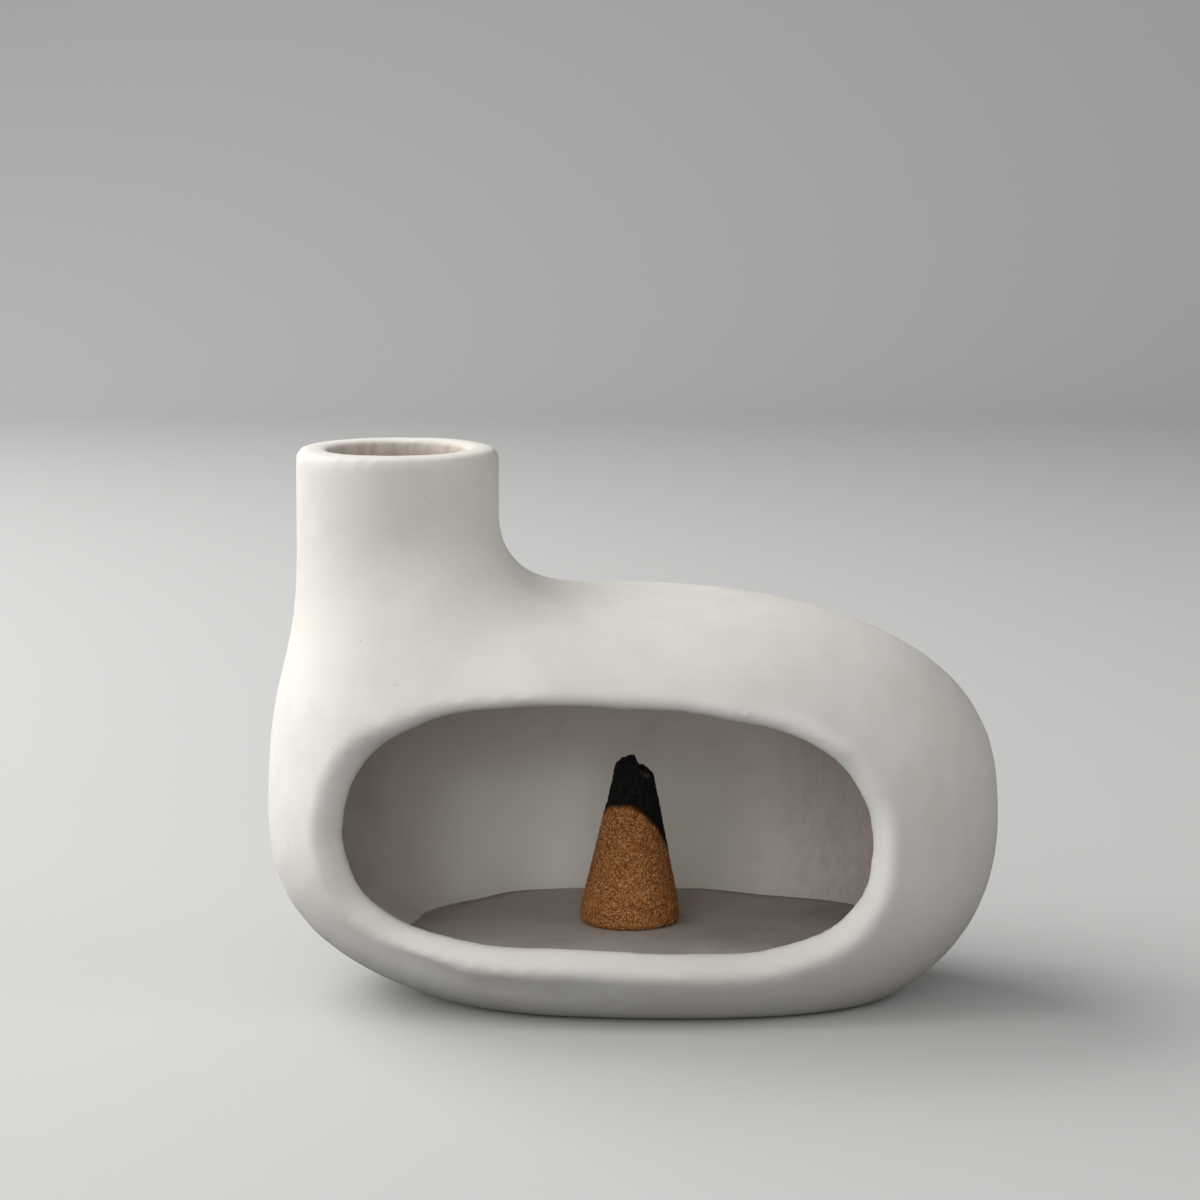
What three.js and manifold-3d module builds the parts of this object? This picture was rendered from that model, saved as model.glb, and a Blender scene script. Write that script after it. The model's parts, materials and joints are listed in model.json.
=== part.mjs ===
// A hand-built palo santo and incense cone holder in unglazed white clay.
// A hollow, egg-like chamber lies along X on a flat foot, and its left end rises into a round chimney.
// A rounded mouth is cut through the front wall (-Y).
// Inside, a level floor slab carries a loose, part-burnt cone.
// Millimetres, +Z up. The origin is on the table, under the middle of the object's outer box.

import * as THREE from "three";
import { mergeVertices } from "three/addons/utils/BufferGeometryUtils.js";
import Module from "manifold-3d";

const wasm = await Module();
wasm.setup();

// Chamber
const bodyLength = 108.4; // end to end along X
const bodyDepth = 66; // front to back along Y
const bodyTop = 60.8; // crown of the chamber above the table
const bellyHeight = 26.6; // height of the two widest ends
const keelCentre = 16; // X of the lowest place on the round underside
const keelDrop = 4.9; // how far the underside would pass below the table if it weren't cut flat
const wall = 4.2; // thickness of the clay wall
const footThickness = 4.6; // clay under the floor slab

// Chimney
const chimneyDiameter = 29.8;
const chimneySetIn = 19.4; // from the chamber's left end to the chimney's axis
const chimneyRise = 20.1; // from the crown to the rim
const neckRadius = 9.8; // concave blend from the crown into the chimney
const shoulderRise = 7.2; // from the crown to where the left side has become straight
const shoulderSwell = 0.64; // share of the left side's rise over which it stays as full as the belly
const shoulderDraw = 0.56; // share of it over which it draws in to the straight side
const rimRound = 1.8; // rounding of the rim's two edges

// Mouth in the front wall, as it is on the outer surface
const mouthSetInLeft = 10.5; // from the chamber's left end
const mouthSetInRight = 18.3; // from its right end
const mouthBelowCrown = 12.4;
const mouthAboveFloor = 0.3;
const lipRound = 2.2; // rounding of the mouth's outer edge
const lipInnerRound = 1.3; // rounding of its inner edge

// Floor slab
const slabThickness = 4.6;
const jointGap = 0.3; // clay joint around and under the slab

// Incense cone, part burnt
const coneDiameter = 14.8;
const coneHeight = 24.8; // what is left of it
const coneTopDiameter = 5.8; // across the burnt end
const coneTopBreak = 1.2; // how far the burnt end's edge has broken away
const coneTopHollow = 1; // how deep the burnt end has sunk in the middle
const coneEdgeRound = 1.1; // rounding of its foot
const cone = new THREE.Vector2(-0.6, 0.8); // X and Y of its axis
const restGap = 0.3; // clearance under the cone
const burnHeight = 15.2; // from its foot to the burn line, on the axis
const burnSlope = -0.42; // the line falls towards +X
const charGap = 0.3; // between the unburnt cone and its charred tip

// Fullness of the curves: 2 is an ellipse, and more is squarer
const crownFullness = 2.55;
const keelFullnessRight = 2.2;
const keelFullnessLeft = 2.45;
const planFullness = 2;
const upperFullness = 2.3;
const lowerFullness = 2.6;
const tubeFullness = 2;
const mouthFullness = { topRight: 2.35, topLeft: 2.4, bottomLeft: 2.2, bottomRight: 3.1 };

// Facets
const outlinePoints = 60;
const ringPoints = 44;
const capSections = 13;
const fanSections = 20;
const tubeSections = 3;
const roundSteps = 3;
const mouthPoints = 56;
const conePoints = 32;

// What follows from the sizes above
const chimneyCentre = chimneySetIn - bodyLength / 2;
const chimneyTop = bodyTop + chimneyRise;
const shoulderHeight = bodyTop + shoulderRise;
const neckPivot = new THREE.Vector2(
  chimneyCentre + chimneyDiameter / 2 + neckRadius,
  bodyTop + neckRadius,
);
const slabTop = footThickness + jointGap + slabThickness;
const mouth = new THREE.Box2(
  new THREE.Vector2(mouthSetInLeft - bodyLength / 2, slabTop + mouthAboveFloor),
  new THREE.Vector2(bodyLength / 2 - mouthSetInRight, bodyTop - mouthBelowCrown),
);
const rimEdge = Math.min(rimRound, 0.45 * wall);
const lipEdge = Math.min(lipRound, 0.55 * wall);
const lipInnerEdge = Math.min(lipInnerRound, 0.35 * wall);
const past = 5; // how far a cutter runs on past what it cuts
const slopeStep = 0.5; // to each side, where a slope is measured

const clay = new THREE.MeshStandardMaterial({ color: 0xe6e3dc, roughness: 0.85, metalness: 0 });
const slabClay = new THREE.MeshStandardMaterial({ color: 0x9c9189, roughness: 0.9, metalness: 0 });
const incense = new THREE.MeshStandardMaterial({ color: 0xa0622f, roughness: 0.95, metalness: 0 });
const char = new THREE.MeshStandardMaterial({ color: 0x151615, roughness: 0.9, metalness: 0 });

// Half-width of a superellipse of half-width 1 at w, which runs from -1 to 1.
function bulge(w, fullness) {
  return Math.pow(Math.max(0, 1 - Math.pow(Math.abs(w), fullness)), 1 / fullness);
}

function smoothstep(t) {
  return t * t * (3 - 2 * t);
}

// A quarter of a superellipse, from centre + (0, rise) at t = 0 to centre + (reach, 0) at t = 1.
class QuarterBulge extends THREE.Curve {
  constructor(centre, reach, rise, fullness) {
    super();
    Object.assign(this, { centre, reach, rise, fullness });
  }

  getPoint(t, target = new THREE.Vector2()) {
    const angle = (t * Math.PI) / 2;
    const power = 2 / this.fullness;
    return target.set(
      this.centre.x + this.reach * Math.pow(Math.max(0, Math.sin(angle)), power),
      this.centre.y + this.rise * Math.pow(Math.max(0, Math.cos(angle)), power),
    );
  }
}

// The side outline in X and Z, moved inwards by an inset, as two chains of points.
// The upper one runs from the right end over the crown and the neck to the rim, and the lower one under the
// chamber and up its left side to the rim.
function sideOutline(inset, rimHeight) {
  const halfLength = bodyLength / 2 - inset;
  const overKeel = new THREE.Vector2(keelCentre, bellyHeight);
  const tubeRight = chimneyCentre + chimneyDiameter / 2 - inset;
  const tubeLeft = chimneyCentre - chimneyDiameter / 2 + inset;
  const crown = new QuarterBulge(
    new THREE.Vector2(neckPivot.x, bellyHeight),
    halfLength - neckPivot.x,
    bodyTop - inset - bellyHeight,
    crownFullness,
  );
  const keelRise = -(bellyHeight + keelDrop - inset);
  const keelRight = new QuarterBulge(overKeel, halfLength - keelCentre, keelRise, keelFullnessRight);
  const keelLeft = new QuarterBulge(overKeel, -halfLength - keelCentre, keelRise, keelFullnessLeft);
  const sideRise = shoulderHeight - bellyHeight;
  const shoulder = new THREE.CubicBezierCurve(
    new THREE.Vector2(-halfLength, bellyHeight),
    new THREE.Vector2(-halfLength, bellyHeight + sideRise * shoulderSwell),
    new THREE.Vector2(tubeLeft, shoulderHeight - sideRise * shoulderDraw),
    new THREE.Vector2(tubeLeft, shoulderHeight),
  );
  const neck = new THREE.EllipseCurve(
    neckPivot.x,
    neckPivot.y,
    neckRadius + inset,
    neckRadius + inset,
    -Math.PI / 2,
    -Math.PI,
    true,
  );
  const upper = [crown.getPoints(outlinePoints).reverse(), neck.getPoints(outlinePoints)];
  upper.push([new THREE.Vector2(tubeRight, rimHeight)]);
  const lower = [keelRight.getPoints(outlinePoints).reverse(), keelLeft.getPoints(outlinePoints)];
  lower.push(shoulder.getPoints(outlinePoints), [new THREE.Vector2(tubeLeft, rimHeight)]);
  return { upper: upper.flat(), lower: lower.flat() };
}

// Where a line through origin along direction crosses a chain of points, at its last crossing.
function crossing(chain, origin, direction) {
  const side = (p) => (p.x - origin.x) * direction.y - (p.y - origin.y) * direction.x;
  for (let i = chain.length - 1; i > 0; i--) {
    const here = side(chain[i]);
    const before = side(chain[i - 1]);
    if (here === 0) return chain[i].clone();
    if (here * before <= 0) return chain[i - 1].clone().lerp(chain[i], before / (before - here));
  }
  throw new Error("a section line misses the outline");
}

// One cross-section of the vessel at a station: 0 to 1 are upright slices from the right end to the neck,
// 1 to 2 turn about the neck's centre, and 2 to 3 are level slices up the chimney.
// The chamber has its full depth from its middle to the neck.
function sectionAt(station, form) {
  const { inset, rimHeight, outline } = form;
  const halfLength = bodyLength / 2 - inset;
  const tubeRadius = chimneyDiameter / 2 - inset;
  const fullDepth = bodyDepth / 2 - inset;
  const turn = smoothstep(THREE.MathUtils.clamp(2 - station, 0, 1));
  let origin = neckPivot;
  let direction = new THREE.Vector2(0, 1);
  let halfDepth = tubeRadius + (fullDepth - tubeRadius) * turn;
  if (station <= 1) {
    const x = neckPivot.x + (halfLength - neckPivot.x) * Math.cos((station * Math.PI) / 2);
    origin = new THREE.Vector2(x, bellyHeight);
    halfDepth = fullDepth * bulge(Math.max(0, x) / halfLength, planFullness);
  } else if (station <= 2) {
    const angle = ((2 - station) * Math.PI) / 2;
    direction = new THREE.Vector2(Math.cos(angle), Math.sin(angle));
  } else {
    origin = new THREE.Vector2(0, neckPivot.y + (rimHeight - neckPivot.y) * (station - 2));
    direction = new THREE.Vector2(1, 0);
  }
  return {
    top: crossing(outline.upper, origin, direction),
    bottom: crossing(outline.lower, origin, direction),
    halfDepth,
    upperFullness: tubeFullness + (upperFullness - tubeFullness) * turn,
    lowerFullness: tubeFullness + (lowerFullness - tubeFullness) * turn,
  };
}

function vesselForm(inset, rimHeight) {
  return { inset, rimHeight, outline: sideOutline(inset, rimHeight) };
}

// The points of a section, widened or drawn in all round by grow.
function ringOf(section, grow = 0) {
  const { top, bottom, halfDepth } = section;
  const centre = top.clone().add(bottom).divideScalar(2);
  const along = top.clone().sub(bottom).divideScalar(2);
  const reach = along.length();
  along.normalize().multiplyScalar(reach + grow);
  const ring = [];
  for (let i = 0; i < ringPoints; i++) {
    const angle = (i / ringPoints) * 2 * Math.PI;
    const up = Math.cos(angle);
    const out = Math.sin(angle);
    const power = 2 / (up > 0 ? section.upperFullness : section.lowerFullness);
    const w = Math.sign(up) * Math.pow(Math.abs(up), power);
    const y = Math.sign(out) * Math.pow(Math.abs(out), power) * (halfDepth + grow);
    ring.push(new THREE.Vector3(centre.x + along.x * w, y, centre.y + along.y * w));
  }
  return ring;
}

// A closed skin over rings of equal length, drawn to a point at each end.
function skin(rings, firstPoint, lastPoint) {
  const count = rings[0].length;
  const points = [firstPoint, ...rings.flat(), lastPoint];
  const at = (ring, i) => 1 + ring * count + (i % count);
  const faces = [];
  for (let i = 0; i < count; i++) {
    faces.push(0, at(0, i), at(0, i + 1));
    for (let r = 0; r + 1 < rings.length; r++) {
      faces.push(at(r, i), at(r + 1, i), at(r + 1, i + 1));
      faces.push(at(r, i), at(r + 1, i + 1), at(r, i + 1));
    }
    faces.push(points.length - 1, at(rings.length - 1, i + 1), at(rings.length - 1, i));
  }
  return new THREE.BufferGeometry().setFromPoints(points).setIndex(faces);
}

// A closed geometry as a solid, whichever way round its faces are.
function solidOf(geometry) {
  const bare = geometry.clone();
  bare.deleteAttribute("normal");
  bare.deleteAttribute("uv");
  const merged = mergeVertices(bare, 1e-4);
  const make = (triVerts) =>
    new wasm.Manifold(
      new wasm.Mesh({ numProp: 3, vertProperties: merged.attributes.position.array, triVerts }),
    );
  const triVerts = new Uint32Array(merged.index.array);
  const solid = make(triVerts);
  return solid.volume() > 0 ? solid : make(triVerts.reverse());
}

function meshOf(name, solid, material) {
  const { vertProperties, numProp, triVerts } = solid.getMesh();
  const positions = [];
  for (let i = 0; i < vertProperties.length; i += numProp) {
    positions.push(vertProperties[i], vertProperties[i + 1], vertProperties[i + 2]);
  }
  const geometry = new THREE.BufferGeometry()
    .setAttribute("position", new THREE.Float32BufferAttribute(positions, 3))
    .setIndex([...triVerts]);
  geometry.computeVertexNormals();
  const mesh = new THREE.Mesh(geometry, material);
  mesh.name = name;
  return mesh;
}

// Everything between two heights, as a box wider than the object.
function layer(low, high) {
  const span = 2 * (bodyLength + bodyDepth);
  return solidOf(new THREE.BoxGeometry(span, span, high - low).translate(0, 0, (low + high) / 2));
}

// The vessel's shape as a solid. roundOut is how far its top edge is rounded in (+) or flared out (-).
function vesselSolid(inset, rimHeight, roundOut) {
  const form = vesselForm(inset, rimHeight);
  const stations = [];
  for (let i = 1; i <= capSections; i++) stations.push(i / capSections);
  for (let i = 1; i <= fanSections; i++) stations.push(1 + i / fanSections);
  const stationAtHeight = (height) => 2 + (height - neckPivot.y) / (rimHeight - neckPivot.y);
  const roundStart = stationAtHeight(chimneyTop - rimEdge);
  for (let i = 1; i <= tubeSections; i++) stations.push(2 + ((roundStart - 2) * i) / tubeSections);
  const rings = stations.map((station) => ringOf(sectionAt(station, form)));
  for (let i = 1; i <= roundSteps; i++) {
    const angle = (i / roundSteps) * (Math.PI / 2);
    const station = stationAtHeight(chimneyTop - rimEdge + rimEdge * Math.sin(angle));
    rings.push(ringOf(sectionAt(station, form), -roundOut * rimEdge * (1 - Math.cos(angle))));
  }
  if (rimHeight > chimneyTop) rings.push(ringOf(sectionAt(3, form), -roundOut * rimEdge));
  const rightEnd = new THREE.Vector3(bodyLength / 2 - inset, 0, bellyHeight);
  return solidOf(skin(rings, rightEnd, new THREE.Vector3(chimneyCentre, 0, rimHeight)));
}

// Y of the outer surface's front at (x, z): the section that the place lies in is found by halving.
function frontAt(x, z, form) {
  const place = new THREE.Vector2(x, z);
  const isPast = (section) => {
    const along = section.top.clone().sub(section.bottom);
    return along.x * (place.y - section.bottom.y) > along.y * (place.x - section.bottom.x);
  };
  let low = 0.02;
  let high = 2.9;
  for (let i = 0; i < 30; i++) {
    const middle = (low + high) / 2;
    if (isPast(sectionAt(middle, form))) low = middle;
    else high = middle;
  }
  const section = sectionAt(low, form);
  const centre = section.top.clone().add(section.bottom).divideScalar(2);
  const reach = section.top.distanceTo(section.bottom) / 2;
  const up = section.top.clone().sub(section.bottom).normalize();
  const w = place.clone().sub(centre).dot(up) / reach;
  return -section.halfDepth * bulge(w, w > 0 ? section.upperFullness : section.lowerFullness);
}

// The mouth's outline on the outer surface: for each point its place, the outward normal of the wall, and the
// direction away from the mouth along the wall.
function mouthOutline() {
  const form = vesselForm(0, chimneyTop);
  const centre = mouth.getCenter(new THREE.Vector2());
  const halfSize = mouth.getSize(new THREE.Vector2()).divideScalar(2);
  const { topRight, topLeft, bottomLeft, bottomRight } = mouthFullness;
  const quarters = [topRight, topLeft, bottomLeft, bottomRight];
  const flat = [];
  for (let i = 0; i < mouthPoints; i++) {
    const angle = (i / mouthPoints) * 2 * Math.PI;
    const power = 2 / quarters[Math.floor((i * quarters.length) / mouthPoints)];
    const across = Math.sign(Math.cos(angle)) * Math.pow(Math.abs(Math.cos(angle)), power);
    const up = Math.sign(Math.sin(angle)) * Math.pow(Math.abs(Math.sin(angle)), power);
    flat.push(new THREE.Vector2(across, up).multiply(halfSize).add(centre));
  }
  return flat.map(({ x, y: z }, i) => {
    const next = flat[(i + 1) % mouthPoints];
    const previous = flat[(i + mouthPoints - 1) % mouthPoints];
    const tangent = next.clone().sub(previous);
    const acrossChange = frontAt(x + slopeStep, z, form) - frontAt(x - slopeStep, z, form);
    const upChange = frontAt(x, z + slopeStep, form) - frontAt(x, z - slopeStep, form);
    const normal = new THREE.Vector3(acrossChange, -2 * slopeStep, upChange).normalize();
    const away = new THREE.Vector3(tangent.y, 0, -tangent.x);
    away.addScaledVector(normal, -away.dot(normal)).normalize();
    return { place: new THREE.Vector3(x, frontAt(x, z, form), z), normal, away };
  });
}

// The clay that is cut out of the front wall, square to the wall, with both edges of the lip rounded.
function mouthCutter() {
  const outline = mouthOutline();
  const ringAt = (spread, depth) =>
    outline.map(({ place, normal, away }) =>
      place.clone().addScaledVector(away, spread).addScaledVector(normal, -depth),
    );
  // Each rounding stops short of the surface that it runs out into, so that it meets it cleanly.
  const meetAngle = THREE.MathUtils.degToRad(20);
  const sweep = Math.PI / 2 - meetAngle;
  const rings = [ringAt(lipEdge + past, -past)];
  for (let i = 0; i <= roundSteps; i++) {
    const angle = meetAngle + (i / roundSteps) * sweep;
    rings.push(ringAt(lipEdge * (1 - Math.sin(angle)), lipEdge * (1 - Math.cos(angle))));
  }
  for (let i = 0; i <= roundSteps; i++) {
    const angle = (i / roundSteps) * sweep;
    const depth = wall - lipInnerEdge * (1 - Math.sin(angle));
    rings.push(ringAt(lipInnerEdge * (1 - Math.cos(angle)), depth));
  }
  rings.push(ringAt(lipInnerEdge, wall + past / 2));
  const centre = mouth.getCenter(new THREE.Vector2());
  const inFront = new THREE.Vector3(centre.x, -bodyDepth, centre.y);
  const inside = new THREE.Vector3(centre.x, -wall, centre.y);
  return solidOf(skin(rings, inFront, inside));
}

// The hollow of the vessel from its seat for the slab up, drawn in by a further inset.
function hollow(inset) {
  return vesselSolid(inset, chimneyTop + past, -1);
}

function vesselShell() {
  const seat = layer(footThickness, 2 * chimneyTop);
  const outside = vesselSolid(0, chimneyTop, 1).intersect(layer(0, 2 * chimneyTop));
  return outside.subtract(hollow(wall).intersect(seat)).subtract(mouthCutter());
}

// The level slab: the hollow's own shape between the seat and the floor, less the joint all round.
function floorSlab() {
  return hollow(wall + jointGap).intersect(layer(footThickness + jointGap, slabTop));
}

// Everything above the burn line, moved up by a rise.
function aboveBurn(rise) {
  const size = 4 * coneHeight;
  const box = new THREE.BoxGeometry(size, size, size).translate(0, 0, size / 2);
  box.rotateY(-Math.atan(burnSlope));
  box.translate(cone.x, cone.y, slabTop + restGap + burnHeight + rise);
  return solidOf(box);
}

// The cone as it stands: a pressed cone with a rounded foot and a broken, burnt end.
function coneSolid() {
  const radius = coneDiameter / 2;
  const topRadius = coneTopDiameter / 2;
  const profile = [new THREE.Vector2(0, 0)];
  for (let i = 0; i <= roundSteps; i++) {
    const angle = (i / roundSteps) * (Math.PI / 2);
    profile.push(
      new THREE.Vector2(
        radius - coneEdgeRound * (1 - Math.sin(angle)),
        coneEdgeRound * (1 - Math.cos(angle)),
      ),
    );
  }
  profile.push(new THREE.Vector2(topRadius, coneHeight - coneTopBreak));
  profile.push(new THREE.Vector2(topRadius - coneTopBreak, coneHeight));
  profile.push(new THREE.Vector2(0, coneHeight - coneTopHollow));
  const turned = new THREE.LatheGeometry(profile, conePoints).rotateX(Math.PI / 2);
  return solidOf(turned.translate(cone.x, cone.y, slabTop + restGap));
}

const whole = coneSolid();
const holder = new THREE.Group();
holder.add(meshOf("vessel_shell", vesselShell(), clay));
holder.add(meshOf("floor_slab", floorSlab(), slabClay));
holder.add(meshOf("incense_cone", whole.subtract(aboveBurn(-charGap / 2)), incense));
holder.add(meshOf("charred_tip", whole.intersect(aboveBurn(charGap / 2)), char));

const middle = new THREE.Box3().setFromObject(holder).getCenter(new THREE.Vector3());
holder.position.set(-middle.x, -middle.y, 0);

export default holder;
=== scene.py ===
import json
import math

import bmesh
import bpy
import numpy as np
from mathutils import Matrix, Vector
from mathutils.kdtree import KDTree

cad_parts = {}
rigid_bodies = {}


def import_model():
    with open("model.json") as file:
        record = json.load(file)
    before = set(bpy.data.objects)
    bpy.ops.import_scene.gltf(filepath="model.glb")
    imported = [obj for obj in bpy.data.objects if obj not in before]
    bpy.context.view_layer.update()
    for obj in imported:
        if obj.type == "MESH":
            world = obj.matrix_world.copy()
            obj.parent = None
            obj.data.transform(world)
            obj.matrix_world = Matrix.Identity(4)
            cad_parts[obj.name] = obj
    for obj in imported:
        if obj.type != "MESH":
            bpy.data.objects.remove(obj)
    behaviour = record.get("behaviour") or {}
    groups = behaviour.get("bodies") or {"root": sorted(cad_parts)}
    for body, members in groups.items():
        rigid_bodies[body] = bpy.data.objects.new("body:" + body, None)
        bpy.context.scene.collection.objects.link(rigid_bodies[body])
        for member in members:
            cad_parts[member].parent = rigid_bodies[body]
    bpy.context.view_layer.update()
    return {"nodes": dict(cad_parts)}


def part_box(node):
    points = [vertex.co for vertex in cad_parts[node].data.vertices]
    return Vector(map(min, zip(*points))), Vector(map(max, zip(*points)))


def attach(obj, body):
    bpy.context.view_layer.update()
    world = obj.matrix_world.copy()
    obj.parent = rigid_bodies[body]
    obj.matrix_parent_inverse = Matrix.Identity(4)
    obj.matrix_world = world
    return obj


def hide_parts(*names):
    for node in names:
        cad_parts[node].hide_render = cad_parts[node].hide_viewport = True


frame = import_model()
print("frame loaded")

mm = 0.001  # values are in millimetres unless a note says otherwise, and Blender works in metres

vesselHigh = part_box("vessel_shell")[1]
slabLow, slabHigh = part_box("floor_slab")
incenseLow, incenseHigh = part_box("incense_cone")
middleY = (slabLow.y + slabHigh.y) / 2  # the vessel is the same before and behind this plane
floorTop = incenseLow.z  # the cone stands on it, so the slab is raised to it
floorMiddle = (slabLow + slabHigh) / 2
chimneyX = -34.8 * mm  # the chimney's axis
coneX = (incenseLow.x + incenseHigh.x) / 2
coneY = (incenseLow.y + incenseHigh.y) / 2
farAway = 1.0  # a gap that no effect reaches, in metres


# Small tools

def ramp(value, low, high):  # 0 below low, 1 above high, and smooth between them
    share = np.clip((value - low) / (high - low), 0, 1)
    return share * share * (3 - 2 * share)


def fade(value, pair):  # a ramp between a pair of lengths in millimetres
    return ramp(value, pair[0] * mm, pair[1] * mm)


def selectOnly(piece):
    bpy.ops.object.select_all(action="DESELECT")
    piece.select_set(True)
    bpy.context.view_layer.objects.active = piece


def editWhere(piece, mode, test):  # opens edit mode with only what passes the test selected
    selectOnly(piece)
    bpy.ops.object.mode_set(mode="EDIT")
    bpy.ops.mesh.select_mode(type=mode)
    bpy.ops.mesh.select_all(action="DESELECT")
    form = bmesh.from_edit_mesh(piece.data)
    parts = {"VERT": form.verts, "EDGE": form.edges, "FACE": form.faces}[mode]
    for part in parts:
        if test(part):
            part.select_set(True)
    bmesh.update_edit_mesh(piece.data)


def editAll(piece):
    selectOnly(piece)
    bpy.ops.object.mode_set(mode="EDIT")
    bpy.ops.mesh.select_all(action="SELECT")


def leaveEdit():
    bpy.ops.object.mode_set(mode="OBJECT")


def applyModifier(piece, kind, **settings):
    selectOnly(piece)
    modifier = piece.modifiers.new(kind.lower(), kind)
    for name, value in settings.items():
        setattr(modifier, name, value)
    bpy.ops.object.modifier_apply(modifier=modifier.name)


def applyPlace(piece):  # a finished piece sits at the origin, with its place in its mesh
    selectOnly(piece)
    bpy.ops.object.transform_apply(location=True, rotation=True, scale=True)


def applyByWeight(piece, weights, kind, **settings):  # a modifier that acts by a weight for each point
    group = piece.vertex_groups.new(name="share")
    for index, weight in enumerate(weights):
        group.add([index], float(weight), "REPLACE")
    applyModifier(piece, kind, vertex_group=group.name, **settings)
    piece.vertex_groups.clear()


def placesOf(piece):
    places = np.zeros(len(piece.data.vertices) * 3)
    piece.data.vertices.foreach_get("co", places)
    return places.reshape(-1, 3)


def normalsOf(piece):
    normals = np.zeros(len(piece.data.vertices) * 3)
    piece.data.vertex_normals.foreach_get("vector", normals)
    return normals.reshape(-1, 3)


def paintAttribute(piece, name, values):
    attribute = piece.data.attributes.new(name, "FLOAT", "POINT")
    attribute.data.foreach_set("value", values.astype(np.float32))


def copyOfNode(node, name):  # a free copy of a CAD node's mesh, its loose triangles merged
    mesh = frame["nodes"][node].data.copy()
    mesh.materials.clear()
    piece = bpy.data.objects.new(name, mesh)
    bpy.context.scene.collection.objects.link(piece)
    editAll(piece)
    bpy.ops.mesh.remove_doubles(threshold=0.001 * mm)
    leaveEdit()
    return piece


def searchTree(points):
    tree = KDTree(len(points))
    for index, point in enumerate(points):
        tree.insert(point, index)
    tree.balance()
    return tree


def cloudTexture(name, size, kind="CLOUDS"):
    texture = bpy.data.textures.new(name, kind)
    texture.noise_scale = size * mm
    return texture


def finishPiece(piece, material, body, nodes):
    applyPlace(piece)
    bpy.ops.object.shade_smooth()
    piece.data.materials.clear()
    piece.data.materials.append(material)
    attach(piece, body)
    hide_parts(*nodes)
    print(piece.name, "done,", sum(len(face.vertices) - 2 for face in piece.data.polygons), "triangles")


# Node helpers

def addNode(tree, kind, values=None, **settings):
    made = tree.nodes.new("ShaderNode" + kind)
    for name, value in settings.items():
        setattr(made, name, value)
    for name, value in (values or {}).items():
        feed(tree, made.inputs[name], value)
    return made


def feed(tree, socket, value):  # links a socket, or sets a plain value
    if isinstance(value, bpy.types.NodeSocket):
        tree.links.new(value, socket)
    else:
        socket.default_value = value


def calculate(tree, operation, *values, clamp=False):
    made = addNode(tree, "Math", operation=operation, use_clamp=clamp)
    for index, value in enumerate(values):
        feed(tree, made.inputs[index], value)
    return made.outputs[0]


def spread(tree, value, low, high, toLow=0.0, toHigh=1.0):  # a value mapped from one range to another
    values = {"Value": value, "From Min": low, "From Max": high, "To Min": toLow, "To Max": toHigh}
    return addNode(tree, "MapRange", values, interpolation_type="SMOOTHSTEP").outputs["Result"]


def mixColour(tree, share, first, second, blend="MIX"):
    made = addNode(tree, "Mix", data_type="RGBA", blend_type=blend)
    feed(tree, made.inputs[0], share)
    feed(tree, made.inputs[6], first)
    feed(tree, made.inputs[7], second)
    return made.outputs[2]


def noise(tree, vector, size, detail=3.0, rough=0.55):
    values = {"Vector": vector, "Scale": 1 / (size * mm), "Detail": detail, "Roughness": rough}
    return addNode(tree, "TexNoise", values).outputs["Fac"]


def cells(tree, vector, size, feature="F1"):
    values = {"Vector": vector, "Scale": 1 / (size * mm)}
    return addNode(tree, "TexVoronoi", values, feature=feature).outputs


def colour(red, green, blue):  # takes the 0 to 255 numbers that a colour picker shows
    def linear(part):
        part = part / 255
        return part / 12.92 if part <= 0.04045 else ((part + 0.055) / 1.055) ** 2.4
    return (linear(red), linear(green), linear(blue), 1)


def newGroup(name, inputs, outputs):
    tree = bpy.data.node_groups.new(name, "ShaderNodeTree")
    for socketName, (kind, value) in inputs.items():
        kind = "NodeSocket" + kind
        socket = tree.interface.new_socket(name=socketName, in_out="INPUT", socket_type=kind)
        if value is not None:
            socket.default_value = value
    for socketName, kind in outputs.items():
        kind = "NodeSocket" + kind
        tree.interface.new_socket(name=socketName, in_out="OUTPUT", socket_type=kind)
    entry = tree.nodes.new("NodeGroupInput")
    leave = tree.nodes.new("NodeGroupOutput")
    return tree, entry.outputs, leave.inputs


def placeGroup(tree, group, values):
    made = tree.nodes.new("ShaderNodeGroup")
    made.node_tree = group
    for name, value in values.items():
        feed(tree, made.inputs[name], value)
    return made.outputs


def newMaterial(name, roughness, specular):
    material = bpy.data.materials.new(name)
    material.use_nodes = True
    tree = material.node_tree
    shader = tree.nodes["Principled BSDF"]
    shader.inputs["Roughness"].default_value = roughness
    shader.inputs["Specular IOR Level"].default_value = specular
    return material, tree, shader


def bumpInto(tree, shader, height, depth):  # depth in millimetres, for a height of 0 to 1
    values = {"Strength": 1.0, "Distance": depth * mm, "Height": height}
    tree.links.new(addNode(tree, "Bump", values).outputs["Normal"], shader.inputs["Normal"])


# Shared effects

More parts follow.
